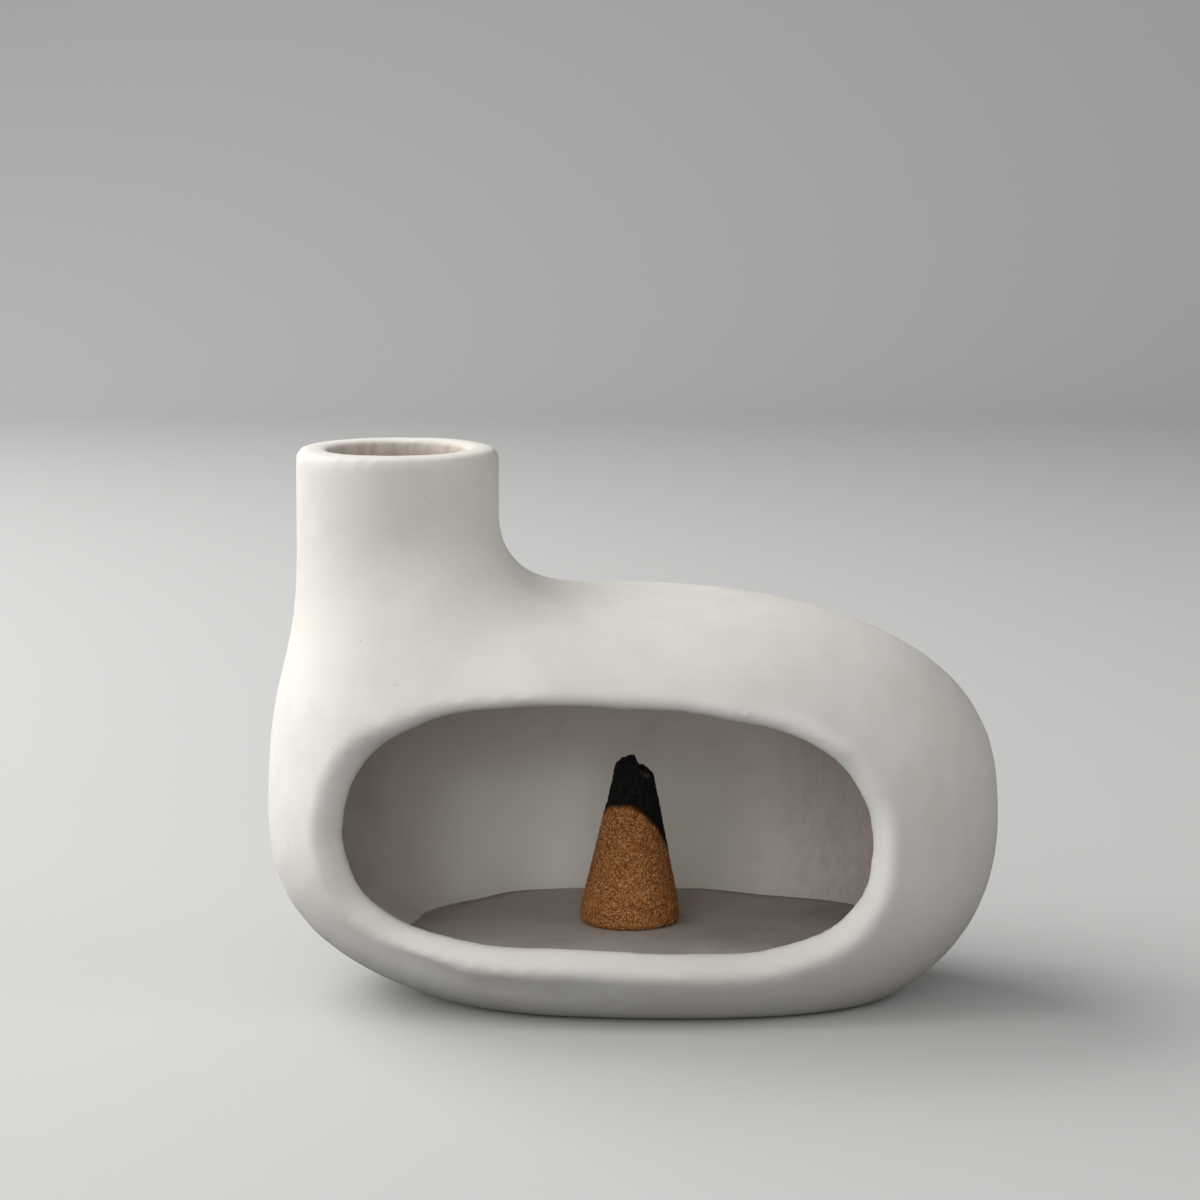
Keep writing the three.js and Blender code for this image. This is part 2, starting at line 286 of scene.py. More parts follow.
def makeClaySurface():  # the skin of smoothed, unglazed clay
    tree, given, result = newGroup(
        "Clay surface",
        {"Vector": ("Vector", None), "Scrapes": ("Float", 0.3), "Pits": ("Float", 0.5)},
        {"Mottle": "Float", "Speck": "Float", "Height": "Float"},
    )
    vector = given["Vector"]
    broad = noise(tree, vector, size=26, detail=3)
    patch = noise(tree, vector, size=5, detail=4)
    mottle = calculate(tree, "MULTIPLY_ADD", broad, 0.65, calculate(tree, "MULTIPLY", patch, 0.35))
    feed(tree, result["Mottle"], spread(tree, mottle, 0.32, 0.68))

    grain = noise(tree, vector, size=0.42, detail=4, rough=0.65)
    stretched = addNode(tree, "Mapping", {"Vector": vector, "Scale": (0.1, 0.1, 0.8)}).outputs["Vector"]
    scrape = noise(tree, stretched, size=1.1, detail=3)
    scrape = calculate(tree, "MULTIPLY", scrape, spread(tree, broad, 0.45, 0.6))
    spots = cells(tree, vector, size=1.5)
    rare = spread(tree, noise(tree, vector, size=9, detail=2), 0.52, 0.66)
    pit = calculate(tree, "MULTIPLY", spread(tree, spots["Distance"], 0.16, 0.06), rare)
    pitDepth = calculate(tree, "MULTIPLY", pit, given["Pits"])
    height = calculate(tree, "MULTIPLY_ADD", grain, 0.35, calculate(tree, "MULTIPLY", patch, 0.45))
    height = calculate(tree, "ADD", height, calculate(tree, "MULTIPLY", scrape, given["Scrapes"]))
    feed(tree, result["Height"], calculate(tree, "SUBTRACT", height, pitDepth))

    dots = cells(tree, vector, size=8.5)
    feed(tree, result["Speck"], spread(tree, dots["Distance"], 0.03, 0.015))
    return tree


def makeSmokeStain():  # smoke that has settled on clay, in uneven veils
    tree, given, result = newGroup(
        "Smoke stain",
        {
            "Vector": ("Vector", None), "Color": ("Color", (0.7, 0.7, 0.7, 1)), "Cover": ("Float", 0.0),
            "Veil": ("Color", (0.4, 0.4, 0.4, 1)), "Deep": ("Color", (0.2, 0.2, 0.2, 1)),
        },
        {"Color": "Color"},
    )
    vector = given["Vector"]
    drift = noise(tree, vector, size=17, detail=4, rough=0.6)
    fine = noise(tree, vector, size=2.6, detail=4, rough=0.6)
    specks = calculate(tree, "MULTIPLY_ADD", fine, 0.16, 0.62)
    uneven = calculate(tree, "MULTIPLY_ADD", drift, 0.5, specks)
    cover = calculate(tree, "MULTIPLY", given["Cover"], uneven, clamp=True)
    veiled = mixColour(tree, cover, given["Color"], given["Veil"])
    heavy = spread(tree, calculate(tree, "MULTIPLY", cover, drift), 0.42, 0.72)
    feed(tree, result["Color"], mixColour(tree, heavy, veiled, given["Deep"]))
    return tree


def makePressedGrain():  # sawdust pressed into a body
    tree, given, result = newGroup(
        "Pressed grain",
        {"Vector": ("Vector", None), "Size": ("Float", 2600.0)},
        {"Shade": "Float", "Light": "Float", "Dark": "Float", "Height": "Float"},
    )
    vector, size = given["Vector"], given["Size"]
    wobble = addNode(tree, "TexNoise", {"Vector": vector, "Scale": size, "Detail": 2.0}).outputs["Color"]
    most = [0.18 * mm] * 3  # how far the grains' edges wander
    shift = addNode(tree, "VectorMath", {0: wobble, 1: most}, operation="MULTIPLY")
    moved = addNode(tree, "VectorMath", {0: vector, 1: shift.outputs[0]}, operation="ADD").outputs[0]
    grain = addNode(tree, "TexVoronoi", {"Vector": moved, "Scale": size}, feature="F1").outputs
    chance = addNode(tree, "SeparateColor", {"Color": grain["Color"]}).outputs
    feed(tree, result["Shade"], chance["Red"])
    feed(tree, result["Light"], spread(tree, chance["Green"], 0.80, 0.95))
    feed(tree, result["Dark"], spread(tree, chance["Blue"], 0.84, 0.96))
    feed(tree, result["Height"], calculate(tree, "SUBTRACT", 1.0, grain["Distance"]))
    return tree


claySurface = makeClaySurface()
smokeStain = makeSmokeStain()
pressedGrain = makePressedGrain()


# Vessel

# Lengths are in millimetres, and a pair says where a change starts and where it ends
vesselValues = {
    "voxel": 0.74,  # edge of the remesh grid
    "seam": 0.02,  # points nearer than this are joined where the two halves meet
    "formPasses": 34,  # smoothing that takes the facets out of the body
    "rimKeep": 0.15, "rimHeights": (64, 72),  # the rim gets only this share of it, from these heights up
    "rimBand": 3, "rimLift": 1.1,  # the rim's top is raised,
    "rimTop": 0.2,  # and cut level again this far over its old height
    "rimThicker": 0.8,  # extra wall inside at the chimney's rim

    # the hollow's middle is a level line through the chamber and an upright one through the chimney
    "hollowLeft": -32, "hollowRight": 28, "hollowHeight": 29, "hollowTop": 90,
    "inward": (0.3, 0.8),  # how squarely a face looks at that middle, to count as the inner wall
    "endFill": 3.8,  # extra clay inside both ends, so that the wall slopes to the floor there
    "endReach": (9, 26), "endHeights": (8, 28),  # where that is, along X and up,
    "endDepths": (-24, 4),  # and from front to back
    "endShift": -5.4,  # the left end is filled less

    # the mouth seen from the front, as X and Z of a smooth closed curve
    "mouth": [
        (-42.0, 29.5), (-38.4, 38.1), (-30.6, 43.8), (-19.8, 46.3),
        (-1.9, 46.5), (13.4, 44.9), (25.6, 40.8), (31.8, 34.4),
        (34.1, 25.4), (31.2, 16.5), (21.3, 11.6), (7.1, 10.9),
        (-8.9, 11.6), (-24.6, 12.2), (-37.9, 17.1), (-41.5, 23.3),
    ],
    "mouthSteps": 24,  # edges between two of its points
    "mouthDepths": (-46, -9),  # what it cuts, from front to back
    "lipInward": (0.2, 0.6),  # as inward, for the mouth
    "lipThicker": 1.0,  # clay gathered inside round the mouth
    "thickReach": (5, 16), "thickDepths": (-18, -7),  # it thins out away from the mouth, and to the back
    "lipInner": 0.6,  # how much the mouth's inner edge is eased
    "lipDeep": 4.0,  # the mouth was cut at a slant, through this much clay
    "lipWide": 3.4, "lipCurve": 1.5,  # the width that the slant shows, and how it curves out
    "lipTopShare": 0.5, "lipTopFacing": (0.55, 1.0),  # that width at the mouth's top, as a share
    "lipLeftShare": 1.3, "lipLeftFacing": (0.2, 0.9),  # and at its left
    "cornerEase": 0.25,  # the slant is this much shallower at the mouth's upper right
    "cornerUp": (0.2, 0.7), "cornerRight": (0.0, 0.5),  # where that is, by the way the edge faces
    "leastFront": 0.6,  # a wall that turns aside is cut deeper, up to one that faces front only this much
    "lipPasses": 8, "lipReach": (3.2, 8),  # smoothing that rounds the lip
    "lipLeast": 0.15,  # the share of it that the rest of the vessel gets

    "handWork": (0.30, 19), "fingerWork": (0.10, 6),  # unevenness left by hands: depth and width
    "dentWork": 0.8,  # depth of the deepest thumb dent
    # soft dents on the front: X and Z, half lengths along and across, turn in degrees, share of the depth
    "thumbDents": [(-31, 9.0, 9, 2.3, -24, 1.0), (-18, 6.0, 12, 2.3, -6, 0.6)],
    "footFlat": 0.12,  # what is lower than this is pressed flat on the table

    "stainInward": (0.1, 0.85), "stainFrom": (1, 5),  # the stain starts this far from the mouth's edge
    "poolLeft": (-36, -24), "poolRight": (8, 22),  # a painted pool of light on the back wall's middle, along X,
    "poolHeights": (24, 33), "poolDepths": (0, 10),  # up, and to the back,
    "poolStainCut": 0.8, "poolPaleShare": 0.5,  # lifts this share of the stain there, and paints it this share paler
    "highlightReach": (1.5, 4.6), "highlightRight": (0.0, 0.6),  # a painted highlight on the mouth's right lip
    "highlightLow": (0.0, 0.7), "highlightLowLess": 0.55,  # less so at its bottom
    "flueInward": (0.5, 0.95), "flueReach": (14, 34),  # tar round the chimney's axis
    "flueLow": (10, 34), "flueLowShare": 0.15,  # some of it low down
    "flueHigh": (50, 66), "flueHighShare": 0.85,  # and most in the chimney
    "endShade": 0.6, "endShadeReach": (18, 30),  # and painted shade, in the same brown, at the chamber's right end

    "colours": {
        "light": colour(232, 229, 223), "dark": colour(224, 219, 212), "speck": colour(150, 134, 116),
        "pale": colour(250, 247, 242),  # painted light: the highlight on the mouth's right lip, and the pool on the back wall
        "veil": colour(220, 213, 204), "deep": colour(208, 198, 188),  # light and heavy stain
        "tarAndShade": colour(162, 144, 130),
    },
}


def makeBisqueClay():
    tones = vesselValues["colours"]
    material, tree, shader = newMaterial("bisque clay", roughness=0.86, specular=0.32)
    place = addNode(tree, "TexCoord").outputs["Object"]
    skin = placeGroup(tree, claySurface, {"Vector": place, "Scrapes": 0.25, "Pits": 0.5})
    clay = mixColour(tree, skin["Mottle"], tones["light"], tones["dark"])
    clay = mixColour(tree, calculate(tree, "MULTIPLY", skin["Speck"], 0.22), clay, tones["speck"])
    # painted light: a highlight on the mouth's right lip and a pool of light on the back wall
    pale = addNode(tree, "Attribute", attribute_name="pale").outputs["Fac"]
    clay = mixColour(tree, pale, clay, tones["pale"])
    smoke = addNode(tree, "Attribute", attribute_name="smoke").outputs["Fac"]
    stain = placeGroup(tree, smokeStain, {
        "Vector": place, "Color": clay, "Cover": smoke, "Veil": tones["veil"], "Deep": tones["deep"],
    })
    # tar in the chimney, and painted shade at the chamber's right end
    flueTarAndEndShade = addNode(tree, "Attribute", attribute_name="flueTarAndEndShade").outputs["Fac"]
    runs = addNode(tree, "Mapping", {"Vector": place, "Scale": (1.0, 1.0, 0.1)}).outputs["Vector"]
    streaks = spread(tree, noise(tree, runs, size=1.6, detail=4, rough=0.65), 0.35, 0.7)
    tarAndShadeShare = calculate(tree, "MULTIPLY", flueTarAndEndShade, calculate(tree, "MULTIPLY_ADD", streaks, 0.35, 0.4))
    browned = mixColour(tree, tarAndShadeShare, stain["Color"], tones["tarAndShade"])
    feed(tree, shader.inputs["Base Color"], browned)
    feed(tree, shader.inputs["Roughness"], spread(tree, skin["Mottle"], 0.0, 1.0, 0.82, 0.9))
    bumpInto(tree, shader, skin["Height"], depth=0.10)
    return material


def makeVessel():
    piece = copyOfNode("vessel_shell", "clay_vessel")
    formVessel(piece)
    fillEnds(piece)
    cutter = makeMouthCutter()
    cutMouth(piece, cutter)
    gaps, facing = mouthGaps(piece, cutter)
    bpy.data.objects.remove(cutter)
    print("mouth cut")
    workByHand(piece)
    paintVessel(piece, gaps, facing)
    return piece


# The back half is whole, so it is mirrored to the front, and the mouth is cut again
def formVessel(piece):
    values = vesselValues
    editAll(piece)
    bpy.ops.mesh.bisect(plane_co=(0, middleY, 0), plane_no=(0, 1, 0), use_fill=False, clear_inner=True)
    leaveEdit()
    piece.data.transform(Matrix.Translation((0, -middleY, 0)))
    piece.location.y = middleY
    seam = values["seam"] * mm
    applyModifier(piece, "MIRROR", use_axis=(False, True, False), use_clip=True, merge_threshold=seam)
    applyPlace(piece)
    editWhere(piece, "VERT", lambda vertex: vertex.co.z > vesselHigh.z - values["rimBand"] * mm)
    bpy.ops.transform.translate(value=(0, 0, values["rimLift"] * mm))
    leaveEdit()
    editAll(piece)
    rimTop = (0, 0, vesselHigh.z + values["rimTop"] * mm)
    bpy.ops.mesh.bisect(plane_co=rimTop, plane_no=(0, 0, 1), use_fill=True, clear_outer=True)
    leaveEdit()
    applyModifier(piece, "REMESH", mode="VOXEL", voxel_size=values["voxel"] * mm)
    toRim = fade(placesOf(piece)[:, 2], values["rimHeights"])
    rimInside = toRim * ramp(insideness(piece), *values["inward"])
    applyByWeight(piece, rimInside, "DISPLACE", strength=values["rimThicker"] * mm, mid_level=0)
    share = 1 - (1 - values["rimKeep"]) * toRim
    applyByWeight(piece, share, "SMOOTH", factor=0.5, iterations=values["formPasses"])
    print("vessel form made")


def fillEnds(piece):
    values = vesselValues
    places = placesOf(piece)
    inward = ramp(insideness(piece), *values["inward"])
    endMiddle = floorMiddle.x + values["endShift"] * mm
    toEnd = fade(abs(places[:, 0] - endMiddle), values["endReach"])
    low = 1 - fade(places[:, 2], values["endHeights"])
    behind = fade(places[:, 1] - middleY, values["endDepths"])
    share = inward * toEnd * low * behind
    applyByWeight(piece, share, "DISPLACE", strength=values["endFill"] * mm, mid_level=0)


def makeMouthCutter():
    values = vesselValues
    front, back = values["mouthDepths"]
    bpy.ops.object.select_all(action="DESELECT")
    upright = (math.radians(90), 0, 0)
    bpy.ops.curve.primitive_bezier_circle_add(radius=1, rotation=upright, location=(0, 0, 0))
    cutter = bpy.context.object
    cutter.name = "mouthCutter"
    spline = cutter.data.splines[0]
    spline.bezier_points.add(len(values["mouth"]) - len(spline.bezier_points))
    for point, (x, z) in zip(spline.bezier_points, values["mouth"]):
        point.co = (x * mm, z * mm, 0)
        point.handle_left_type = point.handle_right_type = "AUTO"
    cutter.data.resolution_u = values["mouthSteps"]
    cutter.data.dimensions = "2D"
    cutter.data.fill_mode = "BOTH"
    cutter.data.extrude = (back - front) / 2 * mm
    cutter.location.y = (front + back) / 2 * mm
    bpy.ops.object.convert(target="MESH")
    cutter = bpy.context.object
    applyPlace(cutter)
    editAll(cutter)
    bpy.ops.mesh.remove_doubles(threshold=0.01 * mm)
    bpy.ops.mesh.normals_make_consistent(inside=False)
    leaveEdit()
    return cutter


def cutMouth(piece, cutter):
    values = vesselValues
    gaps, facing = mouthGaps(piece, cutter)
    inward = ramp(insideness(piece), *values["lipInward"])
    outward = ramp(-insideness(piece), *values["lipInward"])
    atFront = 1 - fade(placesOf(piece)[:, 1], values["thickDepths"])
    gathered = inward * atFront * (1 - fade(gaps, values["thickReach"])) * values["lipThicker"]
    eased = inward * np.clip(1 - gaps / (values["lipInner"] * mm), 0, 1) * values["lipInner"]
    narrow = 1 - (1 - values["lipTopShare"]) * ramp(facing[:, 2], *values["lipTopFacing"])
    shown = narrow * (1 + (values["lipLeftShare"] - 1) * ramp(-facing[:, 0], *values["lipLeftFacing"]))
    upper = ramp(facing[:, 2], *values["cornerUp"])
    flatter = 1 - values["cornerEase"] * upper * ramp(facing[:, 0], *values["cornerRight"])
    steep = narrow * flatter / np.maximum(abs(normalsOf(piece)[:, 1]), values["leastFront"])
    towardsEdge = np.clip(1 - gaps / (values["lipWide"] * mm * shown), 0, 1)
    sloped = outward * steep * values["lipDeep"] * towardsEdge ** values["lipCurve"]
    for depths, way, direction in ((gathered, 1, "NORMAL"), (eased, -1, "NORMAL"), (sloped, 1, "Y")):
        most = depths.max()
        applyByWeight(piece, depths / most, "DISPLACE", strength=way * most * mm, mid_level=0,
                      direction=direction)
    applyModifier(piece, "BOOLEAN", operation="DIFFERENCE", solver="MANIFOLD", object=cutter)
    applyModifier(piece, "REMESH", mode="VOXEL", voxel_size=values["voxel"] * mm)
    applyByWeight(piece, dentShares(piece), "DISPLACE", strength=-values["dentWork"] * mm, mid_level=0)
    lip = 1 - fade(abs(mouthGaps(piece, cutter)[0]), values["lipReach"])
    share = np.maximum(lip, values["lipLeast"])
    applyByWeight(piece, share, "SMOOTH", factor=0.5, iterations=values["lipPasses"])


def workByHand(piece):
    values = vesselValues
    for name in ("handWork", "fingerWork"):
        depth, size = values[name]
        texture = cloudTexture(name, size)
        applyModifier(piece, "DISPLACE", strength=depth * mm, mid_level=0.5, texture=texture)
    editWhere(piece, "VERT", lambda vertex: vertex.co.z < values["footFlat"] * mm)
    bpy.ops.transform.resize(value=(1, 1, 0), center_override=(0, 0, 0))
    leaveEdit()


def paintVessel(piece, gaps, facing):
    values = vesselValues
    x, y, z = placesOf(piece).T
    y = y - middleY
    inside = ramp(insideness(piece), *values["stainInward"])
    # A painted pool of light on the back wall's middle: less smoke stain there, and painted paler clay
    litPool = inside * fade(x, values["poolLeft"])
    litPool *= 1 - fade(x, values["poolRight"])
    litPool *= 1 - fade(z, values["poolHeights"])
    litPool *= fade(y, values["poolDepths"])
    smoke = inside * fade(gaps, values["stainFrom"])
    paintAttribute(piece, "smoke", smoke * (1 - values["poolStainCut"] * litPool))

    # a painted highlight on the mouth's right lip, and the painted pool of light made paler
    lipHighlight = (1 - fade(gaps, values["highlightReach"])) * ramp(facing[:, 0], *values["highlightRight"])
    lipHighlight *= 1 - values["highlightLowLess"] * ramp(-facing[:, 2], *values["highlightLow"])
    paintAttribute(piece, "pale", np.maximum(lipHighlight * (1 - inside), values["poolPaleShare"] * litPool))

    nearFlue = 1 - fade(np.hypot(x - chimneyX, y), values["flueReach"])
    risen = values["flueLowShare"] * fade(z, values["flueLow"])
    risen += values["flueHighShare"] * fade(z, values["flueHigh"])
    # painted shade at the chamber's right end, in the tar's brown
    shadeAtEnd = values["endShade"] * fade(x, values["endShadeReach"])
    inFlue = ramp(insideness(piece), *values["flueInward"])
    paintAttribute(piece, "flueTarAndEndShade", inFlue * (nearFlue * risen + shadeAtEnd))


# How far outside the mouth each front point lies, seen from the front, and which way
def mouthGaps(piece, cutter):
    flat = (1, 0, 1)  # without Y
    corners, directions = placesOf(cutter) * flat, normalsOf(cutter) * flat
    directions /= np.linalg.norm(directions, axis=1)[:, None]
    outline = searchTree(corners)
    places = placesOf(piece)
    nearest = [outline.find(place)[1] for place in places * flat]
    away = places * flat - corners[nearest]
    gaps = np.sum(away * directions[nearest], axis=1)
    return np.where(places[:, 1] < middleY, gaps, farAway), directions[nearest]


def dentShares(piece):
    places = placesOf(piece) / mm
    shares = np.zeros(len(places))
    for x, z, along, across, turn, share in vesselValues["thumbDents"]:
        turn = math.radians(turn)
        right, up = places[:, 0] - x, places[:, 2] - z
        length = (right * math.cos(turn) + up * math.sin(turn)) / along
        width = (up * math.cos(turn) - right * math.sin(turn)) / across
        shares = np.maximum(shares, share * np.exp(-length ** 2 - width ** 2))
    front = (places[:, 1] < middleY / mm) & (insideness(piece) < 0)
    return np.where(front, shares, 0)


def insideness(piece):  # 1 where a face looks at the middle of the hollow, -1 where it looks away
    values = vesselValues
    places, normals = placesOf(piece), normalsOf(piece)
    height = values["hollowHeight"] * mm
    chamber = np.stack([
        np.clip(places[:, 0], values["hollowLeft"] * mm, values["hollowRight"] * mm),
        np.full(len(places), middleY),
        np.full(len(places), height),
    ], 1)
    chimney = np.stack([
        np.full(len(places), chimneyX),
        np.full(len(places), middleY),
        np.clip(places[:, 2], height, values["hollowTop"] * mm),
    ], 1)
    toChamber, toChimney = chamber - places, chimney - places
    farChamber = np.linalg.norm(toChamber, axis=1)
    farChimney = np.linalg.norm(toChimney, axis=1)
    nearest = np.where((farChamber < farChimney)[:, None], toChamber, toChimney)
    nearest /= np.maximum(np.minimum(farChamber, farChimney), 0.1 * mm)[:, None]
    return np.sum(nearest * normals, axis=1)


vessel = makeVessel()
finishPiece(vessel, makeBisqueClay(), "vessel", ["vessel_shell"])


# Floor

floorValues = {
    "voxel": 0.55,  # edge of the remesh grid
    "reach": 0.7,  # how far the slab's edge goes into the wall
    "edgePasses": 5,  # smoothing that rounds its edge
    "unevenness": 0.35, "unevenSize": 14,  # depth and width
    "joint": (0.4, 2.0),  # soot and painted crease shade along the wall thin out over these distances from it
    "jointFade": (20, 33), "jointFadeShare": 0.65,  # and by this share, this far to the left

    "colours": {
        "light": colour(201, 195, 187), "dark": colour(193, 186, 178),
        "veil": colour(192, 185, 177), "deep": colour(174, 164, 154),  # light and heavy stain
        "joint": colour(136, 122, 110), "crumb": colour(104, 70, 54),  # soot and painted crease shade in the joint, and dirt crumbs there
    },
}


def makeSmokedClay():
    tones = floorValues["colours"]
    material, tree, shader = newMaterial("smoked clay", roughness=0.88, specular=0.3)
    place = addNode(tree, "TexCoord").outputs["Object"]
    skin = placeGroup(tree, claySurface, {"Vector": place, "Scrapes": 0.15, "Pits": 0.8})
    clay = mixColour(tree, skin["Mottle"], tones["light"], tones["dark"])
    edge = addNode(tree, "Attribute", attribute_name="edge").outputs["Fac"]
    stain = placeGroup(tree, smokeStain, {
        "Vector": place, "Color": clay, "Cover": 1.0, "Veil": tones["veil"], "Deep": tones["deep"],
    })
    # soot and painted crease shade along the floor's joint with the wall
    joint = mixColour(tree, calculate(tree, "MULTIPLY", edge, 0.6), stain["Color"], tones["joint"])
    crumbs = spread(tree, cells(tree, place, size=1.3)["Distance"], 0.20, 0.12)
    gathered = spread(tree, noise(tree, place, size=5.0, detail=2), 0.5, 0.62)
    crumbs = calculate(tree, "MULTIPLY", crumbs, gathered)
    crumbs = calculate(tree, "MULTIPLY", crumbs, spread(tree, edge, 0.3, 0.8))
    dirty = mixColour(tree, calculate(tree, "MULTIPLY", crumbs, 0.7), joint, tones["crumb"])
    feed(tree, shader.inputs["Base Color"], dirty)
    bumpInto(tree, shader, skin["Height"], depth=0.12)
    return material


def makeFloor():
    values = floorValues
    piece = copyOfNode("floor_slab", "floor_disc")
    size = slabHigh - slabLow
    grow = [1 + 2 * values["reach"] * mm / size.x, 1 + 2 * values["reach"] * mm / size.y, 1]
    editAll(piece)
    bpy.ops.transform.resize(value=grow, center_override=floorMiddle)
    leaveEdit()
    editWhere(piece, "VERT", lambda vertex: vertex.co.z > floorMiddle.z)
    bpy.ops.transform.translate(value=(0, 0, floorTop - slabHigh.z))
    leaveEdit()
    applyModifier(piece, "REMESH", mode="VOXEL", voxel_size=values["voxel"] * mm)
    applyModifier(piece, "SMOOTH", factor=0.5, iterations=values["edgePasses"])
    uneven = cloudTexture("floor", values["unevenSize"])
    applyModifier(piece, "DISPLACE", strength=values["unevenness"] * mm, mid_level=0.5, texture=uneven,
                  direction="Z")
    wall = searchTree(placesOf(vessel))
    toWall = np.array([wall.find(place)[2] for place in placesOf(piece)])
    clear = 1 - values["jointFadeShare"] * fade(-placesOf(piece)[:, 0], values["jointFade"])
    # soot and painted crease shade along the wall
    paintAttribute(piece, "edge", clear * (1 - fade(toWall, values["joint"])))
    return piece


floorDisc = makeFloor()
finishPiece(floorDisc, makeSmokedClay(), "vessel", ["floor_slab"])


# Incense cone and its burnt tip

coneValues = {
    "footRadius": 7.85, "topRadius": 2.4, "height": 25.1, "sides": 96,  # of the plain cone
    "lean": 0.6,  # the top stands this much to the right
    "bandHeight": 2.2, "bandRadius": 7.35,  # the upright band at the foot
    "near": 1,  # points this near the band's top stay where they are
    "footBevel": 0.9, "footSteps": 4,  # the rounded edge of the foot
    # the burn line is where two slanted planes meet: height at the axis, slope along X, slope along Y
    "frontBurn": (17.9, 0.0, -0.24), "sideBurn": (14.9, -0.6, -1.1),
    "scorched": 1.6,  # the toasting fades out this far below it
    "voxel": 0.17, "softPasses": 4,  # edge of the remesh grid, and smoothing
    "grain": 0.24, "grainSize": 0.42,  # how deep the pressed grain stands out, and its width
    "grainMiddle": 0.35,  # the texture's value that moves nothing
    "tipInto": 0.25,  # the tip reaches this far into the incense

    "fineGrain": 4800.0, "coarseGrain": 3200.0,  # grains of colour in a metre
    "colours": {
        "dark": colour(168, 101, 48), "light": colour(229, 156, 89), "red": colour(168, 92, 56),
        "flake": colour(242, 192, 136), "grain": colour(240, 188, 130), "bark": colour(96, 54, 26),
        "gap": colour(84, 46, 22), "toasted": colour(74, 42, 22), "burnt": colour(24, 21, 20),
    },
}


def makePressedIncense():
    tones = coneValues["colours"]
    material, tree, shader = newMaterial("pressed incense", roughness=0.9, specular=0.22)
    place = addNode(tree, "TexCoord").outputs["Object"]
    grain = placeGroup(tree, pressedGrain, {"Vector": place, "Size": coneValues["fineGrain"]})
    coarse = placeGroup(tree, pressedGrain, {"Vector": place, "Size": coneValues["coarseGrain"]})
    body = mixColour(tree, grain["Shade"], tones["dark"], tones["light"])
    redder = spread(tree, noise(tree, place, size=3.2, detail=3), 0.48, 0.7)
    body = mixColour(tree, calculate(tree, "MULTIPLY", redder, 0.35), body, tones["red"])
    body = mixColour(tree, calculate(tree, "MULTIPLY", coarse["Light"], 0.55), body, tones["flake"])
    body = mixColour(tree, calculate(tree, "MULTIPLY", grain["Light"], 0.6), body, tones["grain"])
    body = mixColour(tree, calculate(tree, "MULTIPLY", grain["Dark"], 0.6), body, tones["bark"])
    gap = spread(tree, grain["Height"], 0.52, 0.34)
    body = mixColour(tree, calculate(tree, "MULTIPLY", gap, 0.75), body, tones["gap"])
    scorch = addNode(tree, "Attribute", attribute_name="scorch").outputs["Fac"]
    lessScorch = calculate(tree, "SUBTRACT", scorch, 0.1)
    ragged = noise(tree, place, size=0.7, detail=4, rough=0.7)
    ragged = calculate(tree, "MULTIPLY_ADD", ragged, 0.50, lessScorch)
    toasted = mixColour(tree, spread(tree, ragged, 0.35, 0.95), body, tones["toasted"])
    burnt = mixColour(tree, spread(tree, ragged, 0.92, 1.08), toasted, tones["burnt"])
    feed(tree, shader.inputs["Base Color"], burnt)
    height = calculate(tree, "MULTIPLY_ADD", coarse["Height"], 0.6, grain["Height"])
    bumpInto(tree, shader, height, depth=0.16)
    return material


def plainCone(name):
    values = coneValues
    bpy.ops.object.select_all(action="DESELECT")
    height = values["height"] * mm
    bpy.ops.mesh.primitive_cone_add(
        vertices=values["sides"], radius1=values["footRadius"] * mm, radius2=values["topRadius"] * mm,
        depth=height, location=(coneX, coneY, floorTop + height / 2),
    )
    piece = bpy.context.object
    piece.name = name
    applyPlace(piece)
    editAll(piece)
    band = floorTop + values["bandHeight"] * mm
    near = values["near"] * mm
    bpy.ops.mesh.bisect(plane_co=(0, 0, band), plane_no=(0, 0, 1), use_fill=False)
    leaveEdit()
    axis = (coneX, coneY, floorTop)
    editWhere(piece, "VERT", lambda vertex: vertex.co.z > band + near)
    bpy.ops.transform.translate(value=(values["lean"] * mm, 0, 0))
    leaveEdit()
    draw = values["bandRadius"] / values["footRadius"]
    editWhere(piece, "VERT", lambda vertex: vertex.co.z < band - near)
    bpy.ops.transform.resize(value=(draw, draw, 1), center_override=axis)
    leaveEdit()
    editWhere(piece, "EDGE", lambda edge: max(vertex.co.z for vertex in edge.verts) < band - near)
    bpy.ops.mesh.bevel(offset=values["footBevel"] * mm, segments=values["footSteps"], affect="EDGES")
    leaveEdit()
    return piece


def burnPlanes(lower=0.0):  # a point and an upward normal for each plane of the burn line
    planes = []
    for height, slopeX, slopeY in (coneValues["frontBurn"], coneValues["sideBurn"]):
        point = Vector((coneX, coneY, floorTop + (height - lower) * mm))
        planes.append((point, Vector((-slopeX, -slopeY, 1)).normalized()))
    return planes


def cutAbove(piece, planes):
    for point, normal in planes:
        editAll(piece)
        bpy.ops.mesh.bisect(plane_co=point, plane_no=normal, use_fill=True, clear_outer=True)
        leaveEdit()


def makeIncense():
    values = coneValues
    piece = plainCone("incense_body")
    cutAbove(piece, burnPlanes())
    applyModifier(piece, "REMESH", mode="VOXEL", voxel_size=values["voxel"] * mm)
    applyModifier(piece, "SMOOTH", factor=0.5, iterations=values["softPasses"])
    grain = cloudTexture("grain", values["grainSize"], "VORONOI")
    applyModifier(piece, "DISPLACE", strength=-values["grain"] * mm, mid_level=values["grainMiddle"],
                  texture=grain)
    places = placesOf(piece)
    below = np.full(len(places), farAway)
    for point, normal in burnPlanes():
        below = np.minimum(below, (np.array(point) - places) @ np.array(normal))
    paintAttribute(piece, "scorch", 1 - ramp(below, 0.0, values["scorched"] * mm))
    return piece


